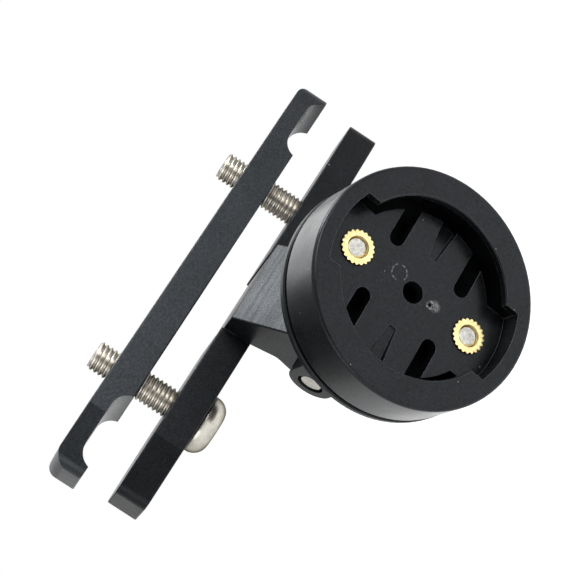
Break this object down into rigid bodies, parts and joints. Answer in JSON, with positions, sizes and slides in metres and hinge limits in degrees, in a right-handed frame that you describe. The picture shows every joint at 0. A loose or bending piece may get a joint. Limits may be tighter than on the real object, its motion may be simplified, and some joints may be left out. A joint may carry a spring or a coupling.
{
  "type": "saddle-rail camera mount with a quarter-turn socket",
  "caption": "Two-plate saddle-rail clamp whose solid arm carries a tilting head with a round quarter-turn socket for a bike camera or computer.",
  "frame": {"origin": "centre of the bracket plate's rail face, midway between the clamp bolts", "axes": "+X along the plates, +Z from the bracket plate to the loose clamp plate, -Y to the side where the head is"},
  "size_m": [0.0804, 0.0542, 0.0528],
  "materials": {
    "anodised_plate": "black anodised, satin",
    "anodised_base": "black anodised, satin",
    "moulded_ring": "black moulded, fine matt texture",
    "stainless": "plain stainless steel",
    "brass_insert": "bright, knurled"
  },
  "bodies": {
    "bracket": {"rail_bracket": "anodised_plate"},
    "clamp": {"clamp_plate": "anodised_plate"},
    "bolt_left": {"clamp_bolt_left": "stainless"},
    "bolt_right": {"clamp_bolt_right": "stainless"},
    "head": {"head_base": "anodised_base", "quarter_turn_ring": "moulded_ring", "insert_upper": "brass_insert", "insert_lower": "brass_insert", "insert_screw_upper": "stainless", "insert_screw_lower": "stainless", "hinge_bolt": "stainless"}
  },
  "joints": [
    {"name": "head_tilt", "type": "hinge", "parent": "bracket", "child": "head", "pos_m": [0, -0.0165, -0.016], "axis": [1, 0, 0], "range_deg": [-25, 45]},
    {"name": "bolt_left_turn", "type": "hinge", "parent": "bracket", "child": "bolt_left", "pos_m": [-0.0207, 0, 0], "axis": [0, 0, 1], "range_deg": [-1580, 2390]},
    {"name": "bolt_right_turn", "type": "hinge", "parent": "bracket", "child": "bolt_right", "pos_m": [0.0207, 0, 0], "axis": [0, 0, 1], "range_deg": [-1580, 2390]},
    {"name": "clamp_slide", "type": "slide", "parent": "bracket", "child": "clamp", "axis": [0, 0, 1], "range_m": [-0.0053, 0.0035]}
  ],
  "couplings": [
    {"joint": "bolt_left_turn", "follows": "clamp_slide", "rad_per_m": -7854},
    {"joint": "bolt_right_turn", "follows": "clamp_slide", "rad_per_m": -7854}
  ]
}
